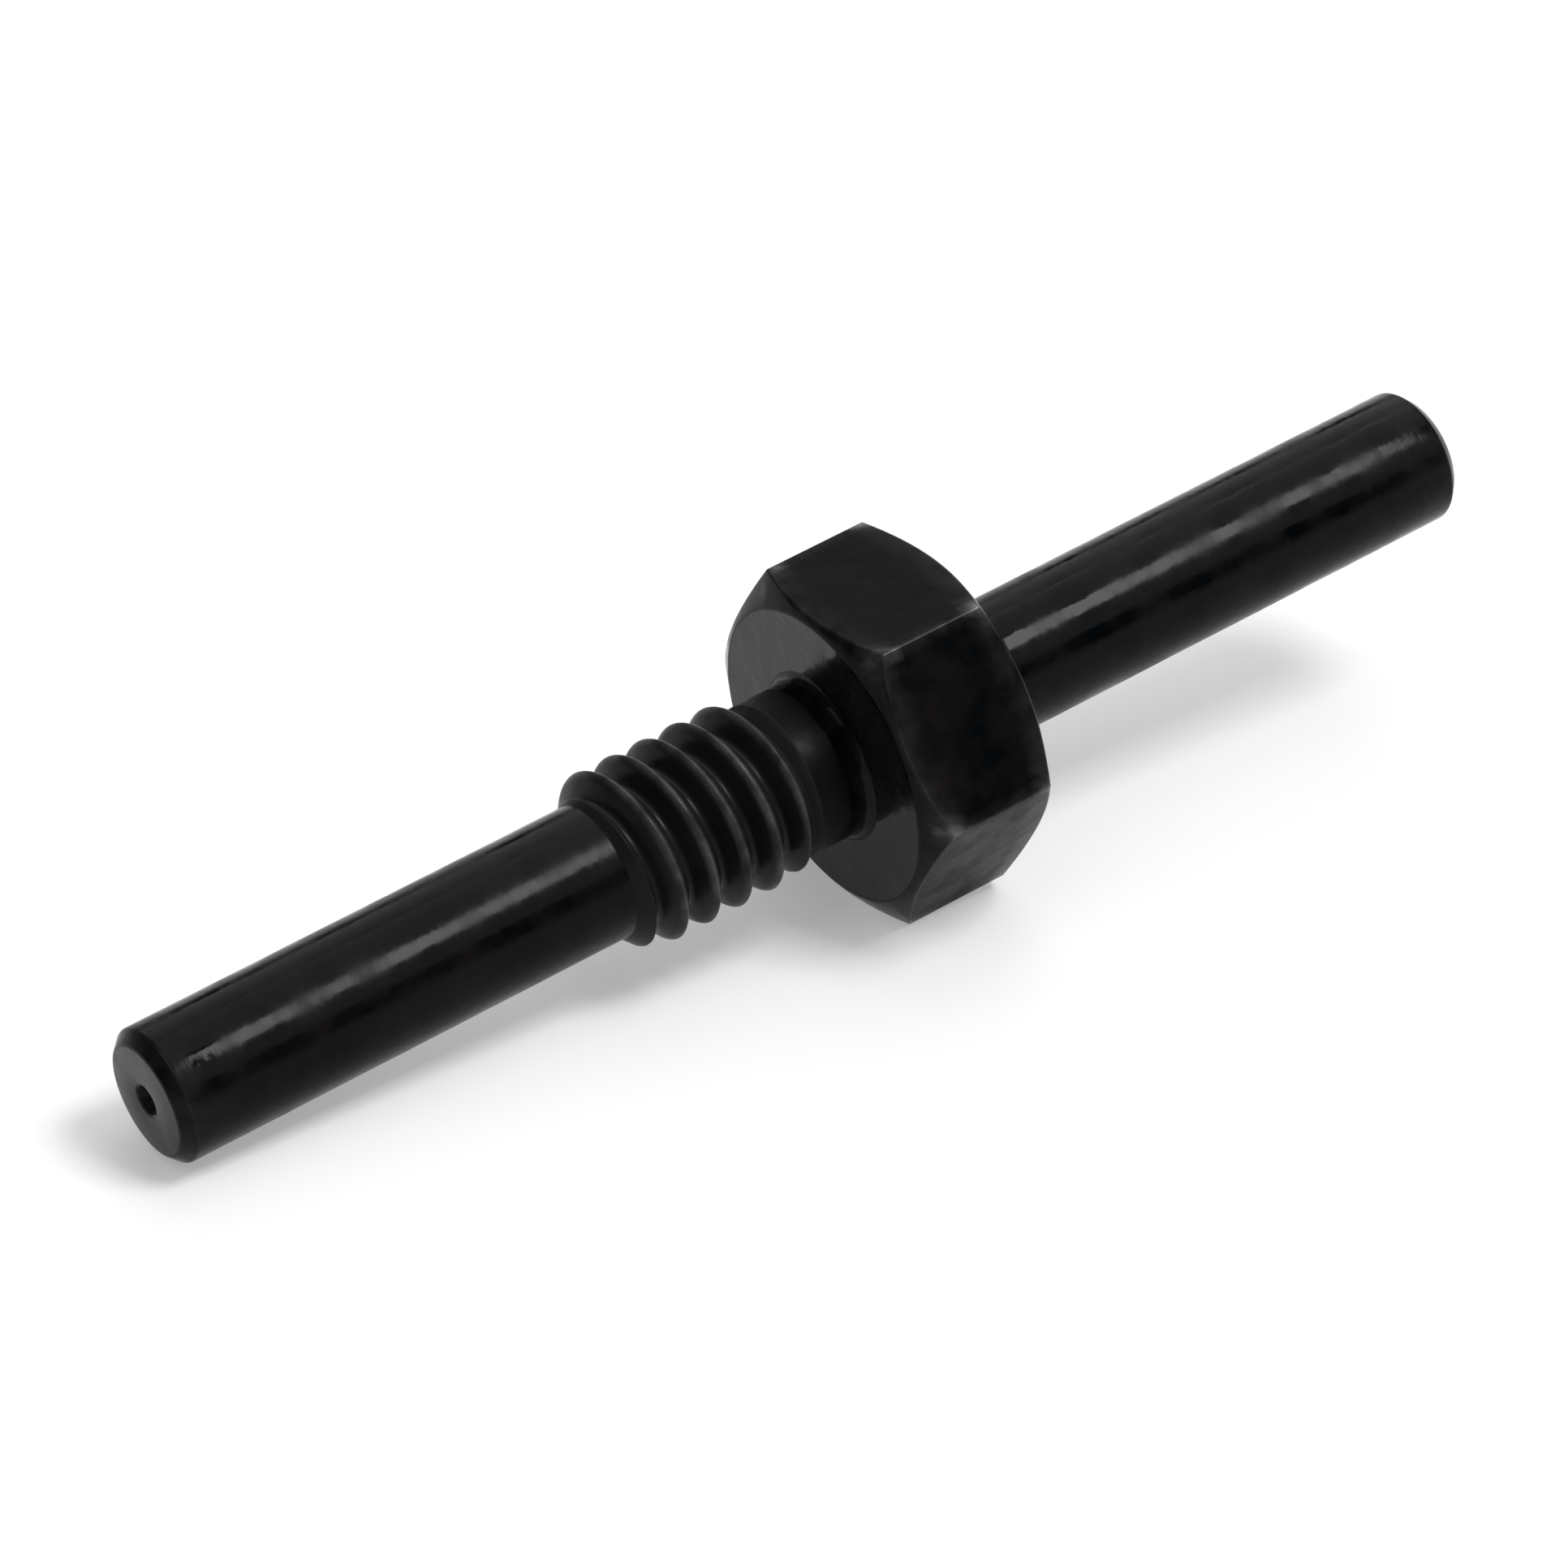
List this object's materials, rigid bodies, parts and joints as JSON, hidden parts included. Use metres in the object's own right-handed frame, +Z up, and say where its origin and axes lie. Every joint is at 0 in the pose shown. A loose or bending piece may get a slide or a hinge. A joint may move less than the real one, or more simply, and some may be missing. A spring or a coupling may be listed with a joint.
{
  "type": "hinge pin",
  "caption": "Black steel hinge pin with a hexagon collar, a short screw thread and a plain round pin at each end, turned in one piece.",
  "frame": {"origin": "on the pin's axis, in the plane of the collar's seating face, which faces the thread", "axes": "X runs along the pin, with the thread and the thread-side pin towards -X and the free pin towards +X; +Z is up, and a flat of the hexagon faces straight down"},
  "size_m": [0.0517, 0.0128, 0.0112],
  "materials": {
    "black_steel": "black oxide, lightly oiled"
  },
  "bodies": {
    "root": {"hinge_pin": "black_steel"}
  },
  "joints": []
}
